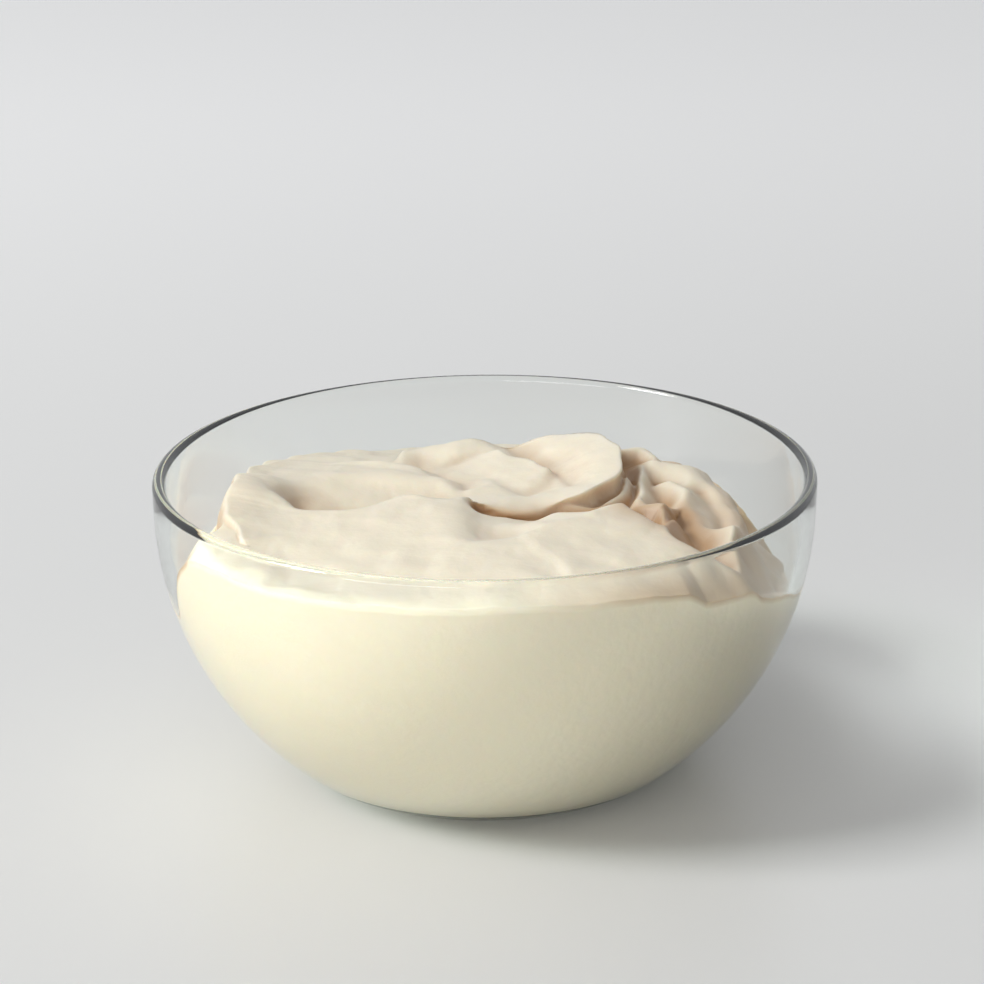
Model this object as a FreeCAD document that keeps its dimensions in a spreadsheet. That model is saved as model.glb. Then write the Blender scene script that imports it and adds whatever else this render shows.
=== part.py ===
# A small glass bowl of swirled frosting, in millimetres.
# Two pieces: the pressed glass bowl, and the frosting that fills it and was worked with a spoon.
# +Z is up, +X to the right, +Y to the back, and the origin is the middle of the bowl's foot on the table.

import FreeCAD
import Part
import Sketcher
import math
import os

from FreeCAD import Vector

doc = FreeCAD.newDocument("frosting_bowl")


# ---------------------------------------------------------------------------------------------
# Driving sizes
# ---------------------------------------------------------------------------------------------

SIZES = [
    # the bowl
    ("rim_radius", 70.0, "outside of the bowl at its rim"),
    ("bowl_height", 65.0, "table to the top of the rim"),
    ("wall", 2.7, "thickness of the glass side and of its full-round rim"),
    ("straight_depth", 6.0, "upright band below the rim, before the side curves in"),
    ("foot_radius", 33.0, "outside of the flat that the bowl stands on"),
    ("corner_radius", 17.0, "outside bend from the side into the foot"),
    ("base_thickness", 4.0, "table to the floor of the bowl"),
    ("inside_corner_radius", 15.0, "inside bend from the side into the floor"),
    ("recess_radius", 26.0, "edge of the shallow hollow under the foot"),
    ("recess_depth", 0.8, "how far that hollow rises off the table"),
    ("recess_slant", 1.5, "width of its sloping edge"),
    # the frosting's body
    ("fill_clearance", 0.1, "between the frosting and the glass that it lies against"),
    ("headroom", 20.0, "how far the uncut filling runs above the rim"),
    ("front_drop", 6.0, "general level of the frosting at the front, below the rim"),
    ("back_fall", 0.075, "how much that level falls for each millimetre towards the back"),
    ("ridge_blend", 1.2, "softness of the creases where ridges meet"),
    ("hollow_blend", 1.5, "softness of the edges of hollows"),
    ("wall_blend", 3.0, "softness of the bend down to the glass"),
    ("surface_pitch", 2.0, "spacing of the points that steer the swirled surface"),
]

# Ridges that the spoon left standing, and hollows that it scooped. The line along each is given by a few
# points (x, y, depth below the rim); then come the slope and rounding of its flank to the left and to the
# right of that line. Later entries lie over earlier ones.
SWIRLS = [
    # the big folds
    ("ridge", "front_lobe",
     [(-48, -20, 3.8), (-38, -23, 4.6), (-28, -23, 4.2), (-12, -21.5, 2.2), (-1.8, -17, 0.4)],
     (0.62, 2.0), (0.085, 9.0)),
    ("ridge", "peak_edge",
     [(-1.8, -17, 0.4), (-4, -26, 3.2), (-5, -33, 4.6)], (0.75, 0.6), (0.1, 6.0)),
    ("ridge", "left_bank",
     [(-43, 30, 8.5), (-49, 18, 5.5), (-52.5, 6, 3), (-52.8, -4, 0.6), (-53.5, -16, 2.4),
      (-48, -31, 4.4)], (0.2, 2.0), (4.5, 0.6)),
    ("ridge", "back_fold",
     [(-36, 24, 7.6), (-30, 22, 6.3), (-21, 20, 5.4), (-13, 13.5, 5), (-10, 5, 5.8)],
     (0.8, 1.0), (0.55, 1.2)),
    ("ridge", "curl",
     [(-1, -11, 2.2), (5, -12, 3.2), (12, -11, 3.2), (17.5, -9, 2.4), (22, -6, 1.6), (25.5, -1, 1.1),
      (27, 8, 0.2), (25, 18, -0.2), (20, 26, 0.2), (12, 31, 2.2), (4, 33, 4.2), (-6, 32, 5.4),
      (-18, 29, 6.8)], (0.45, 2.5), (2.6, 1.0)),
    ("ridge", "front_fold",
     [(6, -36, 2.9), (13, -30.5, 1.4), (19, -25, 0.9), (27, -19.5, 1.2), (33, -15.5, 2.6), (38, -12, 5)],
     (1.1, 1.0), (0.13, 3.0)),
    ("ridge", "right_bank",
     [(40, 16, 5.4), (44, 15, 5.6), (48, 11, 6.2), (51, 3, 7.6), (53.5, -5, 9.4), (55.5, -12, 11.8)],
     (4.0, 0.8), (0.4, 2.0)),
    # the hollows between them and along the glass
    ("hollow", "left_gap",
     [(-50, 40, 18), (-60, 20, 24), (-64, -2, 26.5), (-62, -19, 24), (-57, -33, 18)],
     (3.0, 1.0), (3.0, 1.0)),
    ("hollow", "right_gap",
     [(50, 42, 17), (60, 22, 24), (64, 2, 25), (62, -20, 21), (54, -38, 15)], (3.0, 1.5), (3.0, 1.5)),
    ("hollow", "scoop",
     [(-37, -6, 9.2), (-33, -9.5, 10.2), (-22, -8, 9.8), (-12, -6, 8.4)], (0.36, 3.0), (1.3, 1.2)),
    ("hollow", "scoop_end",
     [(-34.5, -7, 9.8), (-31.5, -11.5, 11)], (0.9, 1.6), (2.6, 0.8)),
    ("hollow", "valley",
     [(2, -33, 5.2), (4, -24, 6.6), (9, -16, 8)], (0.75, 1.2), (0.75, 1.5)),
    ("hollow", "under_curl",
     [(0, -13.5, 6.6), (11, -13.5, 8.4), (20, -13, 8), (28, -11, 7)], (3.0, 0.6), (0.8, 2.0)),
    ("hollow", "basin",
     [(-4, -3, 6), (4, -4, 4.8), (13, -3, 4.2)], (0.5, 5.0), (0.5, 5.0)),
    ("hollow", "back_groove",
     [(-14, 24, 8.6), (-7, 13, 7.8), (-3, 4, 6.8)], (0.5, 0.8), (0.6, 0.8)),
    ("hollow", "curl_groove",
     [(5, 33, 7.5), (11, 20, 6.8), (15.5, 9, 5.6), (18, 0, 4.6)], (0.55, 0.8), (0.55, 0.8)),
    ("hollow", "pit",
     [(33, -19.5, 9.5), (41, -24, 11), (49, -28, 13)], (2.2, 0.8), (0.9, 1.5)),
    ("hollow", "cleft",
     [(37.5, 9, 8.8), (37.5, 0, 8.4)], (1.8, 0.8), (1.8, 0.8)),
    ("hollow", "right_groove",
     [(46, 4, 8.8), (48, -6, 10.4), (49, -14, 12)], (0.9, 1.0), (1.2, 1.0)),
    # the small folds on top
    ("ridge", "inner_leaf",
     [(3, 26, 5), (9, 17, 4.3), (14, 8.5, 3.8)], (1.6, 0.3), (0.25, 0.6)),
    ("ridge", "crescent",
     [(30, 3, 3.8), (28.5, -4, 4.6), (25, -10, 5.4), (20, -13.5, 6.2)], (1.4, 0.5), (1.4, 0.5)),
    ("ridge", "knob",
     [(31, 24, 4.2), (34, 25, 4), (37.5, 22, 5.2)], (1.6, 1.2), (1.4, 1.2)),
    ("ridge", "rib",
     [(33.5, 16, 5.6), (34, 8, 5), (33.5, -4, 5.2), (33, -11, 4.2)], (1.6, 0.8), (1.4, 0.8)),
    ("ridge", "right_leaf",
     [(40, 5, 5.6), (42.5, -2, 5), (42.5, -10, 5.4), (45, -15, 6.6)], (1.2, 1.0), (0.8, 2.0)),
    ("ridge", "pit_ridge",
     [(27, -45, 4.6), (31, -38, 4), (36.5, -28, 4.4), (40, -22, 5.5)], (1.4, 0.8), (1.3, 0.8)),
    ("ridge", "left_ledge",
     [(-52, 34, 17), (-58, 16, 16.5), (-60.5, -4, 14.5), (-59.5, -20, 10.5), (-54, -34, 7)],
     (1.0, 1.0), (4.0, 1.2)),
]

# Where the frosting meets the glass: direction in degrees from +X, depth below the rim, and the slope at
# which it falls to that line.
GLASS_LINE = [
    (-180, 27, 4.0), (-165, 25, 4.0), (-156, 20, 3.0), (-147, 16, 2.0), (-136, 10, 1.5), (-115, 6.2, 0.6),
    (-90, 5.5, 0.5), (-65, 5.5, 0.5), (-52, 9.5, 0.8), (-42, 15, 1.2), (-28, 18, 1.5), (-15, 22, 2.0),
    (0, 24, 2.0), (20, 24, 2.0), (36, 19, 1.5), (50, 16.5, 0.8), (90, 16, 0.6), (130, 17, 0.8),
    (150, 22, 1.5), (165, 27, 3.0), (180, 27, 4.0),
]

sheet = doc.addObject("Spreadsheet::Sheet", "Sizes")
next_row = 1


def put(alias, value, words):
    """Writes one size in the next row of the sheet, under its own name."""
    global next_row
    sheet.set(f"A{next_row}", words)
    sheet.set(f"B{next_row}", str(value))
    sheet.setAlias(f"B{next_row}", alias)
    next_row += 1


def put_flank(name, side, flank):
    put(f"{name}_{side}_slope", flank[0], f"slope of the {side} flank")
    put(f"{name}_{side}_round", flank[1], f"rounding of the {side} flank")


for alias, value, words in SIZES:
    put(alias, value, words)
for kind, name, points, left, right in SWIRLS:
    for number, point in enumerate(points, 1):
        for axis, value in zip(("x", "y", "drop"), point):
            put(f"{name}_{axis}_{number}", value, f"{kind} {name}, point {number}, {axis}")
    put_flank(name, "left", left)
    put_flank(name, "right", right)
for number, (direction, drop, slope) in enumerate(GLASS_LINE, 1):
    put(f"glass_line_direction_{number}", direction, "direction from +X, degrees")
    put(f"glass_line_drop_{number}", drop, "frosting's edge below the rim")
    put(f"glass_line_slope_{number}", slope, "slope down to the edge")
doc.recompute()


def size(alias):
    return float(sheet.get(alias))


# ---------------------------------------------------------------------------------------------
# The bowl's wall curve, which the outside, the inside and the filling share
# ---------------------------------------------------------------------------------------------

# The side is one arc: upright where the straight band ends, and tangent to the bend into the foot.
SIDE_RADIUS = (
    "((Sizes.rim_radius - Sizes.foot_radius)^2"
    " + (Sizes.bowl_height - Sizes.straight_depth - Sizes.corner_radius)^2"
    " - Sizes.corner_radius^2)"
    " / (2 * (Sizes.rim_radius - Sizes.foot_radius - Sizes.corner_radius))"
)


def side_radius():
    run = size("rim_radius") - size("foot_radius")
    corner = size("corner_radius")
    rise = size("bowl_height") - size("straight_depth") - corner
    return (run**2 + rise**2 - corner**2) / (2 * (run - corner))


def start_sketch(body, name):
    """A sketch on the body's own XZ plane, where sketch x is the radius and sketch y the height."""
    sketch = body.newObject("Sketcher::SketchObject", name)
    plane = next(f for f in body.Origin.OriginFeatures if f.Role == "XZ_Plane")
    sketch.AttachmentSupport = (plane, [""])
    sketch.MapMode = "FlatFace"
    return sketch


def line(sketch, x1, z1, x2, z2):
    return sketch.addGeometry(Part.LineSegment(Vector(x1, z1, 0), Vector(x2, z2, 0)), False)


def arc(sketch, x, z, radius, start, end):
    circle = Part.Circle(Vector(x, z, 0), Vector(0, 0, 1), radius)
    return sketch.addGeometry(Part.ArcOfCircle(circle, start, end), False)


def bind(sketch, name, expression, *constraint):
    """Adds a dimension, names it and ties it to the sheet."""
    index = sketch.addConstraint(Sketcher.Constraint(*constraint))
    sketch.renameConstraint(index, name)
    sketch.setExpression(f"Constraints.{name}", expression)


START, END, CENTRE = 1, 2, 3
ORIGIN, UPRIGHT_AXIS = (-1, 1), -2


def wall_curve(sketch, side, inset, floor, corner, start_x, top):
    """Floor line, corner arc, side arc and upright line, set in from the bowl's outside by inset.

    inset, floor and corner are pairs of an expression and its value. Returns the four geometry numbers.
    """
    side_x = size("rim_radius") - side_radius()
    side_z = size("bowl_height") - size("straight_depth")
    radius = side_radius() - inset[1]
    corner_z = floor[1] + corner[1]
    turn = math.asin((corner_z - side_z) / (radius - corner[1]))
    corner_x = side_x + (radius - corner[1]) * math.cos(turn)
    wall_x = side_x + radius

    floor_line = line(sketch, start_x, floor[1], corner_x, floor[1])
    corner_arc = arc(sketch, corner_x, corner_z, corner[1], -math.pi / 2, turn)
    side_arc = arc(sketch, side_x, side_z, radius, turn, 0)
    upright = line(sketch, wall_x, side_z, wall_x, top)

    sketch.addConstraint(Sketcher.Constraint("Tangent", floor_line, END, corner_arc, START))
    sketch.addConstraint(Sketcher.Constraint("Tangent", corner_arc, END, side_arc, START))
    sketch.addConstraint(Sketcher.Constraint("Tangent", side_arc, END, upright, START))
    sketch.addConstraint(Sketcher.Constraint("Horizontal", floor_line))
    sketch.addConstraint(Sketcher.Constraint("Vertical", upright))
    bind(sketch, f"{side}_radius", f"Sizes.rim_radius - ({inset[0]})",
         "DistanceX", *ORIGIN, upright, START, wall_x)
    bind(sketch, f"{side}_shoulder", "Sizes.bowl_height - Sizes.straight_depth",
         "DistanceY", *ORIGIN, upright, START, side_z)
    bind(sketch, f"{side}_side", f"{SIDE_RADIUS} - ({inset[0]})", "Radius", side_arc, radius)
    bind(sketch, f"{side}_corner", corner[0], "Radius", corner_arc, corner[1])
    return floor_line, corner_arc, side_arc, upright


def revolve(body, sketch, name):
    turned = body.newObject("PartDesign::Revolution", name)
    turned.Profile = sketch
    turned.ReferenceAxis = (sketch, ["V_Axis"])
    turned.Angle = 360
    body.Tip = turned


# ---------------------------------------------------------------------------------------------
# Glass bowl: one pressed piece, thick in the foot, with a full-round rim and a hollow underneath
# ---------------------------------------------------------------------------------------------


def make_glass_bowl():
    body = doc.addObject("PartDesign::Body", "glass_bowl")
    body.Label = "glass_bowl"
    sketch = start_sketch(body, "bowl_outline")
    wall, base = size("wall"), size("base_thickness")
    rim_z = size("bowl_height") - wall / 2
    recess_x, recess_z = size("recess_radius"), size("recess_depth")
    recess_flat = recess_x - size("recess_slant")

    outer = wall_curve(sketch, "outer", ("0", 0), ("0", 0),
                       ("Sizes.corner_radius", size("corner_radius")), recess_x, rim_z)
    inner = wall_curve(sketch, "inner", ("Sizes.wall", wall), ("Sizes.base_thickness", base),
                       ("Sizes.inside_corner_radius", size("inside_corner_radius")), 0, rim_z)
    rim = arc(sketch, size("rim_radius") - wall / 2, rim_z, wall / 2, 0, math.pi)
    slant = line(sketch, recess_x, 0, recess_flat, recess_z)
    ceiling = line(sketch, recess_flat, recess_z, 0, recess_z)
    middle = line(sketch, 0, recess_z, 0, base)

    sketch.addConstraint(Sketcher.Constraint("Tangent", outer[3], END, rim, START))
    sketch.addConstraint(Sketcher.Constraint("Tangent", rim, END, inner[3], END))
    sketch.addConstraint(Sketcher.Constraint("Coincident", outer[0], START, slant, START))
    sketch.addConstraint(Sketcher.Constraint("Coincident", slant, END, ceiling, START))
    sketch.addConstraint(Sketcher.Constraint("Coincident", ceiling, END, middle, START))
    sketch.addConstraint(Sketcher.Constraint("Coincident", middle, END, inner[0], START))
    sketch.addConstraint(Sketcher.Constraint("Horizontal", ceiling))
    sketch.addConstraint(Sketcher.Constraint("PointOnObject", ceiling, END, UPRIGHT_AXIS))
    sketch.addConstraint(Sketcher.Constraint("PointOnObject", inner[0], START, UPRIGHT_AXIS))
    sketch.addConstraint(Sketcher.Constraint("PointOnObject", outer[0], START, -1))
    bind(sketch, "rim_level", "Sizes.bowl_height - Sizes.wall / 2",
         "DistanceY", *ORIGIN, rim, CENTRE, rim_z)
    bind(sketch, "floor_level", "Sizes.base_thickness", "DistanceY", *ORIGIN, inner[0], START, base)
    bind(sketch, "recess_edge", "Sizes.recess_radius", "DistanceX", *ORIGIN, slant, START, recess_x)
    bind(sketch, "recess_flat", "Sizes.recess_radius - Sizes.recess_slant",
         "DistanceX", *ORIGIN, slant, END, recess_flat)
    bind(sketch, "recess_level", "Sizes.recess_depth", "DistanceY", *ORIGIN, slant, END, recess_z)
    revolve(body, sketch, "bowl_turned")
    return body


# ---------------------------------------------------------------------------------------------
# Frosting: fills the bowl to an uneven line on the glass, under a swirled top
# ---------------------------------------------------------------------------------------------


def make_filling():
    """What would fill the bowl past its rim, a hair inside the glass."""
    body = doc.addObject("PartDesign::Body", "filling")
    sketch = start_sketch(body, "filling_outline")
    clearance = size("fill_clearance")
    floor = size("base_thickness") + clearance
    top = size("bowl_height") + size("headroom")
    inset = ("Sizes.wall + Sizes.fill_clearance", size("wall") + clearance)
    corner = ("Sizes.inside_corner_radius - Sizes.fill_clearance", size("inside_corner_radius") - clearance)

    curve = wall_curve(sketch, "fill", inset, ("", floor), corner, 0, top)
    lid = line(sketch, size("rim_radius") - inset[1], top, 0, top)
    middle = line(sketch, 0, top, 0, floor)
    sketch.addConstraint(Sketcher.Constraint("Coincident", curve[3], END, lid, START))
    sketch.addConstraint(Sketcher.Constraint("Coincident", lid, END, middle, START))
    sketch.addConstraint(Sketcher.Constraint("Coincident", middle, END, curve[0], START))
    sketch.addConstraint(Sketcher.Constraint("Horizontal", lid))
    sketch.addConstraint(Sketcher.Constraint("PointOnObject", lid, END, UPRIGHT_AXIS))
    sketch.addConstraint(Sketcher.Constraint("PointOnObject", curve[0], START, UPRIGHT_AXIS))
    bind(sketch, "fill_floor", "Sizes.base_thickness + Sizes.fill_clearance",
         "DistanceY", *ORIGIN, curve[0], START, floor)
    bind(sketch, "fill_top", "Sizes.bowl_height + Sizes.headroom",
         "DistanceY", *ORIGIN, lid, START, top)
    revolve(body, sketch, "filling_turned")
    return body


SPANS_PER_POINT = 4
SPANS_PER_COLUMN = 12
DEGREE = 3
NOWHERE = 1e9


def swirl_line(name, count):
    """The spoon's line as short straight spans, each a pair of points at their true level."""
    rim = size("bowl_height")
    points = []
    for number in range(1, count + 1):
        x, y, drop = (size(f"{name}_{axis}_{number}") for axis in ("x", "y", "drop"))
        points.append(Vector(x, y, rim - drop))
    curve = Part.BSplineCurve()
    curve.interpolate(points)
    fine = curve.discretize(Number=count * SPANS_PER_POINT)
    return list(zip(fine[:-1], fine[1:]))


def flank_fall(distance, slope, rounding):
    """How far a flank falls away at some distance from its rounded crest."""
    return slope * (math.hypot(distance, rounding) - rounding)


def swirl_height(spans, left, right, sense, x, y):
    """Level of one ridge (sense 1) or hollow (sense -1) above the point x, y."""
    best = -NOWHERE
    for start, end in spans:
        along_x, along_y = end.x - start.x, end.y - start.y
        length = math.hypot(along_x, along_y)
        part = ((x - start.x) * along_x + (y - start.y) * along_y) / length**2
        part = min(max(part, 0.0), 1.0)
        off_x = x - start.x - part * along_x
        off_y = y - start.y - part * along_y
        distance = math.hypot(off_x, off_y)
        lean = 0.0
        if distance > 0:
            lean = (along_x * off_y - along_y * off_x) / (length * distance)
        share = (1 + lean) / 2
        slope = right[0] + (left[0] - right[0]) * share
        rounding = right[1] + (left[1] - right[1]) * share
        level = start.z + part * (end.z - start.z)
        best = max(best, sense * level - flank_fall(distance, slope, rounding))
    return sense * best


def higher(a, b, blend):
    """The larger of two levels, with the crease between them rounded."""
    share = min(max(0.5 + 0.5 * (a - b) / blend, 0.0), 1.0)
    return b + (a - b) * share + blend * share * (1 - share)


def lower(a, b, blend):
    return -higher(-a, -b, blend)


def level_on_glass(rows, direction):
    """Level at which the frosting meets the glass in this direction, and its slope there."""
    for before, after in zip(rows[:-1], rows[1:]):
        if before[0] <= direction <= after[0]:
            part = (direction - before[0]) / (after[0] - before[0])
            drop = before[1] + part * (after[1] - before[1])
            slope = before[2] + part * (after[2] - before[2])
            return size("bowl_height") - drop, slope
    raise ValueError(f"no glass line at {direction} degrees")


def make_swirled_surface():
    """The frosting's top, as one smooth surface over a square that covers the bowl."""
    rim, inside = size("bowl_height"), size("rim_radius") - size("wall")
    general, fall = rim - size("front_drop"), size("back_fall")
    blends = {"ridge": size("ridge_blend"), "hollow": size("hollow_blend")}
    flanks = ("left_slope", "left_round", "right_slope", "right_round")
    swirls = []
    for kind, name, points, _, _ in SWIRLS:
        values = [size(f"{name}_{flank}") for flank in flanks]
        swirls.append((kind, swirl_line(name, len(points)), values[:2], values[2:]))
    rows = [[size(f"glass_line_{what}_{number}") for what in ("direction", "drop", "slope")]
            for number in range(1, len(GLASS_LINE) + 1)]

    def level(x, y):
        z = general - fall * (y + inside)
        for kind, spans, left, right in swirls:
            if kind == "ridge":
                z = higher(z, swirl_height(spans, left, right, 1, x, y), blends[kind])
            else:
                z = lower(z, swirl_height(spans, left, right, -1, x, y), blends[kind])
        edge, slope = level_on_glass(rows, math.degrees(math.atan2(y, x)))
        in_from_glass = max(inside - math.hypot(x, y), 0.0)
        return lower(z, edge + slope * in_from_glass, size("wall_blend"))

    pitch = size("surface_pitch")
    steps = math.ceil(inside / pitch) + 1
    ticks = [step * pitch for step in range(-steps, steps + 1)]
    poles = [[Vector(x, y, level(x, y)) for y in ticks] for x in ticks]
    knots = list(range(len(ticks) - DEGREE + 1))
    ends = DEGREE + 1
    repeats = [ends] + [1] * (len(knots) - 2) + [ends]
    surface = Part.BSplineSurface()
    surface.buildFromPolesMultsKnots(poles, repeats, repeats, knots, knots, False, False, DEGREE, DEGREE)
    return surface


def make_air():
    """The space above the swirled surface, as columns side by side, each under a few spans of it."""
    surface = make_swirled_surface()
    knots = surface.getUKnots()
    cuts = knots[::SPANS_PER_COLUMN]
    if cuts[-1] != knots[-1]:
        cuts.append(knots[-1])
    up = Vector(0, 0, 2 * size("headroom") + size("bowl_height"))
    columns = []
    for left, right in zip(cuts[:-1], cuts[1:]):
        for front, back in zip(cuts[:-1], cuts[1:]):
            patch = surface.copy()
            patch.segment(left, right, front, back)
            columns.append(patch.toShape().extrude(up))
    return Part.makeCompound(columns)


def make_frosting():
    filling = make_filling()
    air = doc.addObject("Part::Feature", "air_over_frosting")
    air.Shape = make_air()
    frosting = doc.addObject("Part::Cut", "frosting")
    frosting.Label = "frosting"
    frosting.Base = filling
    frosting.Tool = air
    return frosting


# ---------------------------------------------------------------------------------------------
# Build, check and write
# ---------------------------------------------------------------------------------------------

pieces = [make_glass_bowl(), make_frosting()]
doc.recompute()

for feature in doc.Objects:
    if "Invalid" in feature.State or "Error" in feature.State:
        raise RuntimeError(f"{feature.Name} did not build: {feature.State}")
for piece in pieces:
    piece.Placement = FreeCAD.Placement()
    shape = piece.Shape
    if shape.isNull() or not shape.isValid() or len(shape.Solids) != 1:
        raise RuntimeError(f"{piece.Label} is not one sound solid")

os.makedirs("parts", exist_ok=True)
for piece in pieces:
    piece.Shape.exportStep(f"parts/{piece.Label}.step")
    box = piece.Shape.BoundBox
    print(piece.Label, "volume", round(piece.Shape.Volume), "mm3,",
          "x", round(box.XLength, 2), "y", round(box.YLength, 2), "z", round(box.ZMin, 2), "to", round(box.ZMax, 2))
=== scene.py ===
import bpy
import bmesh
import math
import numpy as np
from mathutils import Euler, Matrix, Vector


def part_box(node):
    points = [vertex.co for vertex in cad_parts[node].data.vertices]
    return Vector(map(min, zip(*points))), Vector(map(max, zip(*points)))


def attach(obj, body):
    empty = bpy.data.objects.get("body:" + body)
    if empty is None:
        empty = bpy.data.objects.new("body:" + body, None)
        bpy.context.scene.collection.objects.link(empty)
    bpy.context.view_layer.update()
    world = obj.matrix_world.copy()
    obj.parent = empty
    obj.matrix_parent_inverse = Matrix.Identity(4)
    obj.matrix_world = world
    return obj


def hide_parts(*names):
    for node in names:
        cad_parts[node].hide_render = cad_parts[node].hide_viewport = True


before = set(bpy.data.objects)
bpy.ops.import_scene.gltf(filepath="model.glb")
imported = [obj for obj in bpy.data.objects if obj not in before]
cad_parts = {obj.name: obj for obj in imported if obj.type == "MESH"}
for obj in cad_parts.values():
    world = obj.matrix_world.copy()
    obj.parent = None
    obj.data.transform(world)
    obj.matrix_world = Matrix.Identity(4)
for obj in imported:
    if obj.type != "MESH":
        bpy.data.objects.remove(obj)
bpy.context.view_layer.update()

MM = 0.001


# ------------------------------------------------------------------------------------------
# Camera: a long lens a little above the bowl, aimed just below and to the right of the rim's
# middle. It looks along +Y from the front.
# ------------------------------------------------------------------------------------------
bowl_low, bowl_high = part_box("glass_bowl")
RIM_RADIUS = (bowl_high.x - bowl_low.x) / 2
RIM_HEIGHT = bowl_high.z

CAMERA_DISTANCE = 8.0 * RIM_RADIUS
CAMERA_ELEVATION = math.radians(18.2)
CAMERA_AIM = Euler((math.radians(-0.57), math.radians(-0.16), math.radians(-0.53)))

camera_data = bpy.data.cameras.new("camera")
camera = bpy.data.objects.new("camera", camera_data)
bpy.context.scene.collection.objects.link(camera)
bpy.context.scene.camera = camera
camera_data.sensor_width = 36.0
camera_data.lens = 96.8
camera_data.clip_start = 0.05
camera_data.clip_end = 20.0
rim_middle = Vector((0, 0, RIM_HEIGHT))
from_rim = Vector((0, -math.cos(CAMERA_ELEVATION), math.sin(CAMERA_ELEVATION)))
camera.location = rim_middle + from_rim * CAMERA_DISTANCE
aim = (-from_rim).to_track_quat("-Z", "Y") @ CAMERA_AIM.to_quaternion()
camera.rotation_euler = aim.to_euler()


# ------------------------------------------------------------------------------------------
# Table and studio: a pale, faintly glossy table that runs out of sight, painted lighter far off as painted
# light, one soft lamp high on the left, a wide low one in front, and an even pale surround. None belongs to
# the bowl.
# ------------------------------------------------------------------------------------------
def add_material(name):
    material = bpy.data.materials.new(name)
    material.use_nodes = True
    nodes = material.node_tree.nodes
    nodes.clear()
    output = nodes.new("ShaderNodeOutputMaterial")
    return material, nodes, material.node_tree.links, output


def finish_mesh(mesh_bmesh, name, smooth=True):
    """Turns a bmesh into a piece whose object sits at the origin."""
    mesh = bpy.data.meshes.new(name)
    for face in mesh_bmesh.faces:
        face.smooth = smooth
    mesh_bmesh.to_mesh(mesh)
    mesh_bmesh.free()
    piece = bpy.data.objects.new(name, mesh)
    bpy.context.scene.collection.objects.link(piece)
    return piece


TABLE_HALF = 3.0
# painted light: the table's colour goes from the near colour to a lighter far colour, standing in for
# brighter light on the far table
NEAR_COLOUR = (0.80, 0.815, 0.825, 1)
FAR_COLOUR = (0.955, 0.97, 0.99, 1)

table_bmesh = bmesh.new()
bmesh.ops.create_grid(table_bmesh, x_segments=1, y_segments=1, size=TABLE_HALF)
table = finish_mesh(table_bmesh, "table", smooth=False)
table_material, nodes, links, output = add_material("table_top")
table_shader = nodes.new("ShaderNodeBsdfPrincipled")
table_place = nodes.new("ShaderNodeTexCoord")
table_axes = nodes.new("ShaderNodeSeparateXYZ")
links.new(table_place.outputs["Object"], table_axes.inputs[0])
table_shade = nodes.new("ShaderNodeMapRange")
table_shade.interpolation_type = "SMOOTHSTEP"
table_shade.inputs["From Min"].default_value = 0.10
table_shade.inputs["From Max"].default_value = 0.80
links.new(table_axes.outputs["Y"], table_shade.inputs["Value"])
table_mix = nodes.new("ShaderNodeMix")
table_mix.data_type = "RGBA"
table_mix.inputs[6].default_value = NEAR_COLOUR
table_mix.inputs[7].default_value = FAR_COLOUR
links.new(table_shade.outputs["Result"], table_mix.inputs[0])
links.new(table_mix.outputs[2], table_shader.inputs["Base Color"])
table_shader.inputs["Roughness"].default_value = 0.35
table_shader.inputs["Specular IOR Level"].default_value = 0.3
links.new(table_shader.outputs["BSDF"], output.inputs["Surface"])
table.data.materials.append(table_material)

SURROUND_COLOUR = (0.95, 0.97, 1.0, 1)
SURROUND_LIGHT = 0.36
world = bpy.data.worlds.new("surround")
bpy.context.scene.world = world
world.use_nodes = True
world.cycles.sampling_method = "NONE"
nodes, links = world.node_tree.nodes, world.node_tree.links
nodes.clear()
world_output = nodes.new("ShaderNodeOutputWorld")
seen = nodes.new("ShaderNodeBackground")
seen.inputs["Color"].default_value = SURROUND_COLOUR
lighting = nodes.new("ShaderNodeBackground")
lighting.inputs["Color"].default_value = (0.99, 0.97, 0.94, 1)
lighting.inputs["Strength"].default_value = SURROUND_LIGHT
path = nodes.new("ShaderNodeLightPath")
direct = nodes.new("ShaderNodeMath")
direct.operation = "MAXIMUM"
links.new(path.outputs["Is Camera Ray"], direct.inputs[0])
links.new(path.outputs["Is Transmission Ray"], direct.inputs[1])
mirrored = nodes.new("ShaderNodeMath")
mirrored.operation = "MAXIMUM"
links.new(direct.outputs[0], mirrored.inputs[0])
links.new(path.outputs["Is Glossy Ray"], mirrored.inputs[1])
unscattered = nodes.new("ShaderNodeMath")
unscattered.operation = "LESS_THAN"
unscattered.inputs[1].default_value = 0.5
links.new(path.outputs["Diffuse Depth"], unscattered.inputs[0])
any_seen = nodes.new("ShaderNodeMath")
any_seen.operation = "MULTIPLY"
links.new(mirrored.outputs[0], any_seen.inputs[0])
links.new(unscattered.outputs[0], any_seen.inputs[1])
blend = nodes.new("ShaderNodeMixShader")
links.new(any_seen.outputs[0], blend.inputs["Fac"])
links.new(lighting.outputs[0], blend.inputs[1])
links.new(seen.outputs[0], blend.inputs[2])
links.new(blend.outputs[0], world_output.inputs["Surface"])

bpy.context.scene.view_settings.view_transform = "Standard"

LAMP_TARGET = Vector((0, 0, 0.05))


def add_softbox(name, place, width, height, power, colour):
    """A soft rectangular lamp that faces the middle of the bowl."""
    lamp_data = bpy.data.lights.new(name, "AREA")
    lamp_data.shape = "RECTANGLE"
    lamp_data.size = width
    lamp_data.size_y = height
    lamp_data.energy = power
    lamp_data.color = colour
    lamp = bpy.data.objects.new(name, lamp_data)
    bpy.context.scene.collection.objects.link(lamp)
    lamp.visible_transmission = False
    lamp.location = place
    lamp.rotation_euler = (LAMP_TARGET - Vector(place)).to_track_quat("-Z", "Y").to_euler()


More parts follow.
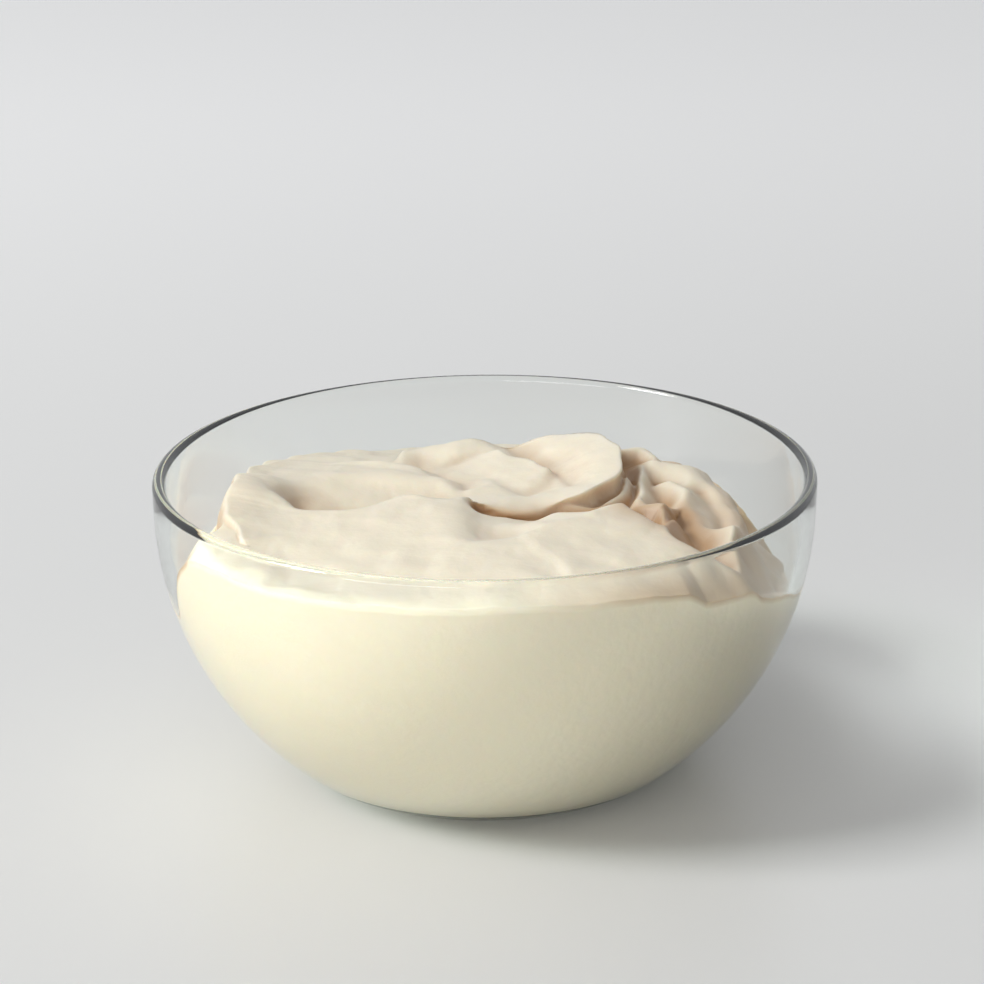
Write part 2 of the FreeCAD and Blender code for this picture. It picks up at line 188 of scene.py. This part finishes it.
add_softbox("key_softbox", (-2.01, -0.52, 1.90), 0.8, 0.8, 47.5, (1.0, 0.99, 0.975))
add_softbox("front_softbox", (-1.26, -2.47, 0.42), 2.0, 0.6, 23, (1.0, 0.985, 0.985))

# ------------------------------------------------------------------------------------------
# Glass bowl: clear pressed glass with a full-round rim, a side that curves in to a thick
# foot, and a shallow hollow underneath. It is one turned wall, a trace green where it is
# seen edge on.
# ------------------------------------------------------------------------------------------
WALL = 2.7 * MM
STRAIGHT_DEPTH = 6.0 * MM
FOOT_RADIUS = 33.0 * MM
CORNER_RADIUS = 17.0 * MM
BASE_THICKNESS = 4.0 * MM
INSIDE_CORNER_RADIUS = 15.0 * MM
RECESS_RADIUS = 26.0 * MM
RECESS_DEPTH = 0.8 * MM
RECESS_SLANT = 1.5 * MM
TURN_STEPS = 192
ARC_STEP = math.radians(4)

run = RIM_RADIUS - FOOT_RADIUS
rise = RIM_HEIGHT - STRAIGHT_DEPTH - CORNER_RADIUS
SIDE_RADIUS = (run**2 + rise**2 - CORNER_RADIUS**2) / (2 * (run - CORNER_RADIUS))
SIDE_MIDDLE = Vector((RIM_RADIUS - SIDE_RADIUS, RIM_HEIGHT - STRAIGHT_DEPTH))


def arc_points(middle, radius, start, end):
    steps = max(2, math.ceil(abs(end - start) / ARC_STEP))
    angles = [start + (end - start) * step / steps for step in range(steps + 1)]
    return [middle + radius * Vector((math.cos(a), math.sin(a))) for a in angles]


def wall_points(inset, floor, corner):
    """The wall's curve from the floor up to the straight band, set in from the outside."""
    side = SIDE_RADIUS - inset
    corner_z = floor + corner
    turn = math.asin((corner_z - SIDE_MIDDLE.y) / (side - corner))
    corner_middle = SIDE_MIDDLE + (side - corner) * Vector((math.cos(turn), math.sin(turn)))
    corner_middle.y = corner_z
    return arc_points(corner_middle, corner, -math.pi / 2, turn)[:-1] + arc_points(SIDE_MIDDLE, side, turn, 0)


rim_middle_line = Vector((RIM_RADIUS - WALL / 2, RIM_HEIGHT - WALL / 2))
bowl_outline = [
    Vector((0, RECESS_DEPTH)),
    Vector((RECESS_RADIUS - RECESS_SLANT, RECESS_DEPTH)),
    Vector((RECESS_RADIUS, 0)),
]
bowl_outline += wall_points(0, 0, CORNER_RADIUS)
bowl_outline += arc_points(rim_middle_line, WALL / 2, 0, math.pi)
bowl_outline += reversed(wall_points(WALL, BASE_THICKNESS, INSIDE_CORNER_RADIUS))
bowl_outline.append(Vector((0, BASE_THICKNESS)))

bowl_bmesh = bmesh.new()
outline_verts = [bowl_bmesh.verts.new((p.x, 0, p.y)) for p in bowl_outline]
outline_edges = [bowl_bmesh.edges.new(pair) for pair in zip(outline_verts[:-1], outline_verts[1:])]
bmesh.ops.spin(
    bowl_bmesh, geom=outline_verts + outline_edges, cent=(0, 0, 0), axis=(0, 0, 1),
    angle=2 * math.pi, steps=TURN_STEPS, use_merge=True, use_duplicate=False,
)
bmesh.ops.remove_doubles(bowl_bmesh, verts=bowl_bmesh.verts, dist=0.001 * MM)
bmesh.ops.recalc_face_normals(bowl_bmesh, faces=bowl_bmesh.faces)
bowl = finish_mesh(bowl_bmesh, "glass_bowl_clear")

glass_material, nodes, links, output = add_material("clear_glass")
glass_shader = nodes.new("ShaderNodeBsdfPrincipled")
glass_shader.inputs["Base Color"].default_value = (0.975, 0.99, 0.985, 1)
glass_shader.inputs["Roughness"].default_value = 0.0
glass_shader.inputs["IOR"].default_value = 1.5
glass_shader.inputs["Transmission Weight"].default_value = 1.0
lamp_rays = nodes.new("ShaderNodeLightPath")
clear_way = nodes.new("ShaderNodeBsdfTransparent")
clear_way.inputs["Color"].default_value = (0.93, 0.95, 0.93, 1)
pass_lamps = nodes.new("ShaderNodeMixShader")
links.new(lamp_rays.outputs["Is Shadow Ray"], pass_lamps.inputs["Fac"])
links.new(glass_shader.outputs["BSDF"], pass_lamps.inputs[1])
links.new(clear_way.outputs["BSDF"], pass_lamps.inputs[2])
links.new(pass_lamps.outputs["Shader"], output.inputs["Surface"])
tint = nodes.new("ShaderNodeVolumeAbsorption")
tint.inputs["Color"].default_value = (0.68, 0.80, 0.70, 1)
tint.inputs["Density"].default_value = 20.0
links.new(tint.outputs["Volume"], output.inputs["Volume"])
bowl.data.materials.append(glass_material)
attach(bowl, "root")
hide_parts("glass_bowl")


# ------------------------------------------------------------------------------------------
# Frosting: thick whipped cream-coloured frosting, spooned into the bowl and swirled. It
# presses against the glass up to an uneven line, and its top is folds, a curl and hollows
# that the spoon left.
# ------------------------------------------------------------------------------------------
INTO_GLASS = 0.2 * MM
# the levels, lengths and reaches from here on are in millimetres
FRONT_LEVEL = -6.0
BACK_FALL = 0.075
RIDGE_BLEND = 1.2
HOLLOW_BLEND = 1.5
WALL_BLEND = 3.0
GRID_CELLS = 248
STREAK_DEPTH = 0.07
STREAK_PITCH = 3.1
STREAK_REACH = 7.0
WAVES = 14
LINE_STEPS = 5
EDGE_TURNS = 721
EDGE_ROUNDS = 6
SKIRT_RINGS = 36

# how far a place is shifted to bend the spoon lines, over what length of wave
BEND = 0.9
BEND_LENGTH = 11
BEND_SEEDS = (1, 2)
# unevenness laid over the whole top: height, length of wave, seed
RIPPLES = [(0.22, 9, 3), (0.035, 3.5, 4)]

# the folds whose tops hang over, and by how many millimetres
OVERHANGS = [("curl", 2.2), ("front_fold", 1.2), ("left_bank", 0.8)]
LEAN_IN = 5.0
LEAN_OUT = 2.2

# painted shade in creases: how many cells of the grid are looked across, and how it sets in
CREASE_STEPS = [(1, 0), (1, 1), (0, 1), (-1, 1), (-1, 0), (-1, -1), (0, -1), (1, -1)]
CREASE_REACH = 17
CREASE_NEAREST = 0.3
CREASE_START = 0.13
CREASE_GAIN = 3.2
# painted shade on the side away from the lamp, low down and by the glass: how much, and where
# it starts and how far it takes to set in, in millimetres
SIDE_SHADE = 0.65
SIDE_START, SIDE_WIDTH = 5, 30
LOW_START, LOW_DEPTH = -6, 5
GLASS_SHADE, GLASS_WIDTH = 1.2, 6
# hollows given painted shade: how much, and the reach in millimetres
SHADED_HOLLOWS = [
    ("scoop_end", 0.3, 4.0), ("under_curl", 1.0, 2.3), ("back_groove", 0.3, 2.0), ("curl_groove", 0.3, 2.0),
    ("pit", 1.2, 5.5), ("side_pit", 1.2, 6.0), ("cleft", 0.15, 2.5),
]

# Ridges and hollows, laid over each other in this order: the points of the spoon's line (x, y,
# level from the rim, in millimetres), then slope and rounding of its left and right flanks.
SWIRLS = {
    # the big folds
    "front_lobe": (
        "ridge",
        [(-48, -20, -4.4), (-38, -23, -6.6), (-28, -23, -5.8), (-12, -21.5, -2.6), (-1.8, -17, -0.4)],
        (0.62, 2), (0.085, 9),
    ),
    "peak_edge": (
        "ridge",
        [(-1.8, -17, -0.4), (-4, -26, -3.2), (-5, -33, -4.6)],
        (0.5, 1.5), (0.1, 6),
    ),
    "left_bank": (
        "ridge",
        [(-43, 30, -8.5), (-49, 18, -5.5), (-52.5, 6, -3), (-52.8, -4, -0.6), (-53.5, -16, -2.4),
         (-48, -31, -4.4)],
        (0.2, 2), (4.5, 0.6),
    ),
    "back_fold": (
        "ridge",
        [(-36, 24, -7.6), (-30, 22, -6.3), (-21, 20, -5.4), (-13, 13.5, -5), (-10, 5, -5.8)],
        (0.8, 1), (0.55, 1.2),
    ),
    "curl": (
        "ridge",
        [(-1, -11, -2.2), (5, -12, -3.2), (12, -11, -3.2), (17.5, -9, -2.4), (22, -6, -1.6),
         (25.5, -1, -1.1), (27, 8, -0.2), (25, 18, 0.2), (20, 26, -0.2), (12, 31, -2.2), (4, 33, -4.2),
         (-6, 32, -5.4), (-18, 29, -6.8)],
        (0.45, 2.5), (2.6, 1),
    ),
    "front_fold": (
        "ridge",
        [(6, -36, -2.9), (13, -30.5, -1.4), (19, -25, -0.9), (27, -19.5, -1.2), (33, -15.5, -2.6),
         (38, -12, -5)],
        (1.1, 1), (0.13, 3),
    ),
    "right_bank": (
        "ridge",
        [(37, 17, -4.8), (41, 15, -5), (44, 10, -5.8), (46.5, 2, -6.8), (49, -6, -8.6), (51.5, -13, -11)],
        (0.5, 1.5), (0.6, 1.5),
    ),
    # the hollows between them and along the glass
    "left_gap": (
        "hollow",
        [(-48, 40, -18), (-57.5, 20, -24), (-61.5, -2, -26.5), (-61, -20, -25)],
        (3, 1), (0.3, 1),
    ),
    "right_gap": (
        "hollow",
        [(48, 42, -17), (57.5, 22, -24), (61.5, 2, -25), (60, -20, -21), (53, -37, -15)],
        (0.3, 1.5), (2.2, 1.5),
    ),
    "scoop": (
        "hollow",
        [(-37, -6, -9.2), (-33, -9.5, -10.2), (-22, -8, -9.8), (-12, -6, -8.4)],
        (0.36, 3), (1.3, 1.2),
    ),
    "scoop_end": (
        "hollow",
        [(-34, -7, -10.2), (-31, -12, -11.8)],
        (0.9, 1.6), (2.6, 0.8),
    ),
    "valley": (
        "hollow",
        [(2, -33, -4.4), (4, -24, -4.6), (9, -16, -6.4)],
        (0.35, 2), (0.4, 2),
    ),
    "under_curl": (
        "hollow",
        [(0, -13.5, -6.6), (11, -13.5, -8.4), (20, -13, -8), (28, -11, -7)],
        (3, 0.6), (0.8, 2),
    ),
    "basin": (
        "hollow",
        [(-4, -3, -6), (4, -4, -4.8), (13, -3, -4.2)],
        (0.5, 5), (0.5, 5),
    ),
    "back_groove": (
        "hollow",
        [(-14, 24, -8.6), (-7, 13, -7.8), (-3, 4, -6.8)],
        (0.5, 0.8), (0.6, 0.8),
    ),
    "curl_groove": (
        "hollow",
        [(5, 33, -7.5), (11, 20, -6.8), (15.5, 9, -5.6), (18, 0, -4.6)],
        (0.55, 0.8), (0.55, 0.8),
    ),
    "pit": (
        "hollow",
        [(31, -16.5, -8.6), (33, -21, -9.8), (35.5, -27, -9)],
        (1.3, 1), (2.4, 0.8),
    ),
    "side_pit": (
        "hollow",
        [(40, -13, -9.5), (41, -20, -11.5), (42, -27, -12.5), (44, -35, -13.5)],
        (0.7, 1.5), (2, 0.8),
    ),
    "cleft": (
        "hollow",
        [(37.5, 9, -8.8), (37.5, 0, -8.4)],
        (1.8, 0.8), (1.8, 0.8),
    ),
    "right_groove": (
        "hollow",
        [(46, 4, -8.8), (48, -6, -10.4), (49, -14, -12)],
        (0.9, 1), (1.2, 1),
    ),
    # the small folds on top
    "inner_leaf": (
        "ridge",
        [(3, 26, -5), (9, 17, -4.3), (14, 8.5, -3.8)],
        (1.6, 0.3), (0.25, 0.6),
    ),
    "crescent": (
        "ridge",
        [(30, 3, -3.8), (28.5, -4, -4.6), (25, -10, -5.4), (20, -13.5, -6.2)],
        (1.4, 0.5), (1.4, 0.5),
    ),
    "knob": (
        "ridge",
        [(31, 24, -4.2), (34, 25, -4), (37.5, 22, -5.2)],
        (1.6, 1.2), (1.4, 1.2),
    ),
    "rib": (
        "ridge",
        [(33.5, 16, -5.6), (34, 8, -5), (33.5, -4, -5.2), (33, -11, -4.2)],
        (1.6, 0.8), (1.4, 0.8),
    ),
    "right_leaf": (
        "ridge",
        [(40, 5, -5.6), (42.5, -2, -5.4), (42.5, -8, -6.4), (45, -13, -8.2)],
        (0.9, 1.8), (0.8, 2),
    ),
    "pit_ridge": (
        "ridge",
        [(24, -46, -5), (29, -38, -4.8), (34, -31, -5), (37.3, -24, -5.2), (38.8, -18, -6.2)],
        (1.1, 0.8), (1.5, 0.8),
    ),
    "left_ledge": (
        "ridge",
        [(-50, 34, -17), (-55.5, 16, -16.5), (-57.5, -4, -14.5), (-57, -20, -10.5), (-54, -34, -7)],
        (1, 1), (4, 1.2),
    ),
}
# Where the frosting meets the glass: degrees from +X, level from the rim, slope down to it.
GLASS_LINE = np.array([
    (-180, -27, 4.0), (-165, -25, 4.0), (-159, -22, 3.5), (-155, -14, 2.5), (-150, -7.5, 1.5),
    (-138, -5.4, 0.8), (-120, -4.8, 0.6), (-90, -4.6, 0.5), (-76, -6.0, 0.6), (-62, -6.8, 0.6),
    (-55, -8.0, 0.8), (-51, -11, 0.9), (-42, -12, 1.2), (-34, -15.5, 1.3), (-28, -17.5, 1.5),
    (-15, -22, 2.0), (0, -24, 2.0), (20, -24, 2.0), (36, -19, 1.5), (50, -16.5, 0.8),
    (90, -16, 0.6), (130, -17, 0.8), (150, -22, 1.5), (165, -27, 3.0), (180, -27, 4.0),
])


def spoon_line(points):
    """Closely spaced points on a smooth line through the given ones."""
    points = np.array(points, float)
    if len(points) == 2:
        return points
    ends = np.vstack([2 * points[0] - points[1], points, 2 * points[-1] - points[-2]])
    fine = []
    for a, b, c, d in zip(ends[:-3], ends[1:-2], ends[2:-1], ends[3:]):
        for t in np.linspace(0, 1, LINE_STEPS, endpoint=False):
            fine.append(0.5 * (2 * b + (c - a) * t + (2 * a - 5 * b + 4 * c - d) * t**2
                               + (3 * b - a - 3 * c + d) * t**3))
    fine.append(points[-1])
    return np.array(fine)


def from_segment(x, y, start, end):
    """The nearest place on a segment, from 0 to 1 along it, the way from it, and the segment."""
    along = end - start
    length = math.hypot(along[0], along[1])
    part = np.clip(((x - start[0]) * along[0] + (y - start[1]) * along[1]) / length**2, 0, 1)
    return part, x - start[0] - part * along[0], y - start[1] - part * along[1], along, length


def swirl_level(x, y, points, left, right, sense):
    """Level of one ridge (sense 1) or hollow (sense -1) over the points x, y."""
    line = spoon_line(points)
    best = np.full(x.shape, -1e9)
    for start, end in zip(line[:-1], line[1:]):
        part, off_x, off_y, along, length = from_segment(x, y, start, end)
        distance = np.hypot(off_x, off_y) + 1e-9
        share = 0.5 + 0.5 * (along[0] * off_y - along[1] * off_x) / (length * distance)
        slope = right[0] + (left[0] - right[0]) * share
        rounding = right[1] + (left[1] - right[1]) * share
        fall = slope * (np.hypot(distance, rounding) - rounding)
        streak = 0.5 - 0.5 * np.cos(2 * np.pi * distance / STREAK_PITCH)
        fall += STREAK_DEPTH * streak * np.exp(-distance / STREAK_REACH)
        best = np.maximum(best, sense * (start[2] + part * along[2]) - fall)
    return sense * best


def higher(a, b, blend):
    """The higher of two levels, blended where they are nearly the same."""
    share = np.clip(0.5 + 0.5 * (a - b) / blend, 0, 1)
    return b + (a - b) * share + blend * share * (1 - share)


def lower(a, b, blend):
    """The lower of two levels, blended where they are nearly the same."""
    return -higher(-a, -b, blend)


def ripple(x, y, length, seed):
    """Smooth unevenness between about -1 and 1, in waves of about the given length."""
    random = np.random.default_rng(seed)
    total = np.zeros_like(x)
    for _ in range(WAVES):
        turn, phase = random.uniform(0, 2 * np.pi, 2)
        wave = 2 * np.pi / (length * random.uniform(0.7, 1.5))
        total += np.sin(wave * (x * np.cos(turn) + y * np.sin(turn)) + phase)
    return total * np.sqrt(2 / WAVES) / 2


def bend(x, y):
    """Shifts places a little this way and that, so that no spoon line runs quite true."""
    shift_x, shift_y = [BEND * ripple(x, y, BEND_LENGTH, seed) for seed in BEND_SEEDS]
    return x + shift_x, y + shift_y


def lean(x, y):
    """How far the tops of the curl and the other steep folds hang over, in millimetres."""
    x, y = bend(x, y)
    shift_x, shift_y = np.zeros_like(x), np.zeros_like(y)
    for name, amount in OVERHANGS:
        line = spoon_line(SWIRLS[name][1])[:, :2]
        nearest = np.full(x.shape, 1e9)
        out_x, out_y = np.zeros_like(x), np.zeros_like(y)
        for start, end in zip(line[:-1], line[1:]):
            _, off_x, off_y, along, length = from_segment(x, y, start, end)
            distance = np.hypot(off_x, off_y)
            outside = (along[1] * off_x - along[0] * off_y) / length
            closer = distance < nearest
            nearest = np.where(closer, distance, nearest)
            near = np.clip(1 - distance / np.where(outside > 0, LEAN_OUT, LEAN_IN), 0, 1)
            strength = amount * near**2 * (3 - 2 * near)
            out_x = np.where(closer, strength * along[1] / length, out_x)
            out_y = np.where(closer, -strength * along[0] / length, out_y)
        shift_x += out_x
        shift_y += out_y
    return shift_x, shift_y


def top_level(x, y):
    """Level of the frosting from the rim, in millimetres, at points x, y in millimetres."""
    inside = (RIM_RADIUS - WALL) / MM
    x, y = bend(x, y)
    z = FRONT_LEVEL - BACK_FALL * (y + inside)
    for kind, points, left, right in SWIRLS.values():
        if kind == "ridge":
            z = higher(z, swirl_level(x, y, points, left, right, 1), RIDGE_BLEND)
        else:
            z = lower(z, swirl_level(x, y, points, left, right, -1), HOLLOW_BLEND)
    for height, length, seed in RIPPLES:
        z = z + height * ripple(x, y, length, seed)
    direction = np.degrees(np.arctan2(y, x))
    edge = np.interp(direction, GLASS_LINE[:, 0], GLASS_LINE[:, 1])
    slope = np.interp(direction, GLASS_LINE[:, 0], GLASS_LINE[:, 2])
    in_from_glass = np.maximum(inside - np.hypot(x, y), 0)
    return lower(z, edge + slope * in_from_glass, WALL_BLEND)


def distance_to(x, y, points):
    """Distance from points x, y to a spoon line as seen from above, in millimetres."""
    line = spoon_line(points)[:, :2]
    nearest = np.full(x.shape, 1e9)
    for start, end in zip(line[:-1], line[1:]):
        _, off_x, off_y, _, _ = from_segment(x, y, start, end)
        nearest = np.minimum(nearest, np.hypot(off_x, off_y))
    return nearest


def crease_shade(x, y, z):
    """How sheltered each place on a square grid is by what stands round it, from 0 to 1; this sets how much
    shade is painted there.
    """
    total = np.zeros_like(z)
    rows, columns = z.shape
    row, column = np.mgrid[0:rows, 0:columns]
    for step_row, step_column in CREASE_STEPS:
        steepest = np.zeros_like(z)
        for reach in range(1, CREASE_REACH + 1, 2):
            there = (np.clip(row + reach * step_row, 0, rows - 1),
                     np.clip(column + reach * step_column, 0, columns - 1))
            away = np.hypot(x[there] - x, y[there] - y) + CREASE_NEAREST
            steepest = np.maximum(steepest, (z[there] - z) / away)
        total += steepest / np.sqrt(1 + steepest**2)
    return np.clip(CREASE_GAIN * (total / len(CREASE_STEPS) - CREASE_START), 0, 1)


# the frosting's side reaches just into the glass, so that no air gap shows
floor_z = BASE_THICKNESS - INTO_GLASS
fill_outline = wall_points(WALL - INTO_GLASS, floor_z, INSIDE_CORNER_RADIUS + INTO_GLASS)
fill_levels = np.array([p.y for p in fill_outline] + [RIM_HEIGHT])
fill_radii = np.array([p.x for p in fill_outline] + [RIM_RADIUS - WALL + INTO_GLASS])

frosting_bmesh = bmesh.new()
bmesh.ops.create_grid(frosting_bmesh, x_segments=GRID_CELLS, y_segments=GRID_CELLS, size=1.0)
frosting_bmesh.verts.ensure_lookup_table()
square = np.array([v.co for v in frosting_bmesh.verts])[:, :2]
# the square grid is drawn out to a disc
u, v = square[:, 0], square[:, 1]
disc_x = u * np.sqrt(1 - v**2 / 2)
disc_y = v * np.sqrt(1 - u**2 / 2)
share = np.hypot(disc_x, disc_y)
direction = np.arctan2(disc_y, disc_x)
# the disc's edge lies on the glass, at the level where the frosting meets it
turns = np.linspace(-math.pi, math.pi, EDGE_TURNS)
edge_level = np.interp(np.degrees(turns), GLASS_LINE[:, 0], GLASS_LINE[:, 1])
for _ in range(EDGE_ROUNDS):
    edge_radius = np.interp(RIM_HEIGHT + edge_level * MM, fill_levels, fill_radii) / MM
    edge_level = top_level(edge_radius * np.cos(turns), edge_radius * np.sin(turns))
edge_radius = np.interp(direction, turns, edge_radius)
x = share * edge_radius * np.cos(direction)
y = share * edge_radius * np.sin(direction)
z = top_level(x, y)
by_row = (GRID_CELLS + 1, GRID_CELLS + 1)
# painted shade: darker colour where the top is sheltered by what stands round it, in its creases
painted_shade = crease_shade(x.reshape(by_row), y.reshape(by_row), z.reshape(by_row)).ravel()
# painted shade: darker colour on the side away from the lamp, low down and by the glass
off_light = np.clip((x - SIDE_START) / SIDE_WIDTH, 0, 1)
low_down = np.clip((LOW_START - z) / LOW_DEPTH, 0, 1)
by_glass = np.clip(GLASS_SHADE - (1 - share) * edge_radius / GLASS_WIDTH, 0, 1)
painted_shade = np.maximum(painted_shade, SIDE_SHADE * off_light * np.maximum(low_down, by_glass))
# painted shade: darker colour along the listed hollows, strongest on their lines
for name, amount, reach in SHADED_HOLLOWS:
    away = distance_to(*bend(x, y), SWIRLS[name][1])
    painted_shade = np.maximum(painted_shade, amount * np.exp(-((away / reach) ** 2)))
lean_x, lean_y = lean(x, y)
x, y = x + lean_x, y + lean_y
for vert, px, py, pz in zip(frosting_bmesh.verts, x, y, z):
    vert.co = (px * MM, py * MM, RIM_HEIGHT + pz * MM)

# the skirt follows the glass down to the floor in rings
edges = [e for e in frosting_bmesh.edges if e.is_boundary]
for rings_left in range(SKIRT_RINGS, 0, -1):
    made = bmesh.ops.extrude_edge_only(frosting_bmesh, edges=edges)["geom"]
    edges = [g for g in made if isinstance(g, bmesh.types.BMEdge) and g.is_boundary]
    for vert in [g for g in made if isinstance(g, bmesh.types.BMVert)]:
        turn = math.atan2(vert.co.y, vert.co.x)
        ring_z = vert.co.z + (floor_z - vert.co.z) / rings_left
        radius = float(np.interp(ring_z, fill_levels, fill_radii))
        vert.co = (radius * math.cos(turn), radius * math.sin(turn), ring_z)
bmesh.ops.contextual_create(frosting_bmesh, geom=edges)
bmesh.ops.recalc_face_normals(frosting_bmesh, faces=frosting_bmesh.faces)
frosting = finish_mesh(frosting_bmesh, "frosting_swirled")
painted_shade_values = np.zeros(len(frosting.data.vertices))
painted_shade_values[:len(painted_shade)] = painted_shade
frosting.data.attributes.new("painted_shade", "FLOAT", "POINT").data.foreach_set("value", painted_shade_values)

frosting_material, nodes, links, output = add_material("whipped_frosting")
frosting_shader = nodes.new("ShaderNodeBsdfPrincipled")
painted_shade_value = nodes.new("ShaderNodeAttribute")
painted_shade_value.attribute_name = "painted_shade"
frosting_place = nodes.new("ShaderNodeTexCoord")
clouding = nodes.new("ShaderNodeTexNoise")
clouding.inputs["Scale"].default_value = 55.0
clouding.inputs["Detail"].default_value = 3.0
links.new(frosting_place.outputs["Object"], clouding.inputs["Vector"])
body_colour = nodes.new("ShaderNodeMix")
body_colour.data_type = "RGBA"
body_colour.inputs[6].default_value = (0.925, 0.84, 0.67, 1)
body_colour.inputs[7].default_value = (0.945, 0.865, 0.705, 1)
links.new(clouding.outputs["Fac"], body_colour.inputs[0])
# painted shade: the colour is mixed towards a warm brown where the painted_shade attribute is high
painted_shade_mix = nodes.new("ShaderNodeMix")
painted_shade_mix.data_type = "RGBA"
painted_shade_mix.inputs[7].default_value = (0.52, 0.33, 0.18, 1)
links.new(painted_shade_value.outputs["Fac"], painted_shade_mix.inputs[0])
links.new(body_colour.outputs[2], painted_shade_mix.inputs[6])
links.new(painted_shade_mix.outputs[2], frosting_shader.inputs["Base Color"])
fine_grain = nodes.new("ShaderNodeTexNoise")
fine_grain.inputs["Scale"].default_value = 420.0
fine_grain.inputs["Detail"].default_value = 4.0
links.new(frosting_place.outputs["Object"], fine_grain.inputs["Vector"])
grain_bump = nodes.new("ShaderNodeBump")
grain_bump.inputs["Strength"].default_value = 0.25
grain_bump.inputs["Distance"].default_value = 0.0006
links.new(fine_grain.outputs["Fac"], grain_bump.inputs["Height"])
links.new(grain_bump.outputs["Normal"], frosting_shader.inputs["Normal"])
frosting_shader.inputs["Roughness"].default_value = 0.45
frosting_shader.inputs["Subsurface Weight"].default_value = 0.35
frosting_shader.inputs["Subsurface Radius"].default_value = (1.0, 0.7, 0.4)
frosting_shader.inputs["Subsurface Scale"].default_value = 0.004
links.new(frosting_shader.outputs["BSDF"], output.inputs["Surface"])
frosting.data.materials.append(frosting_material)
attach(frosting, "root")
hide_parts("frosting")
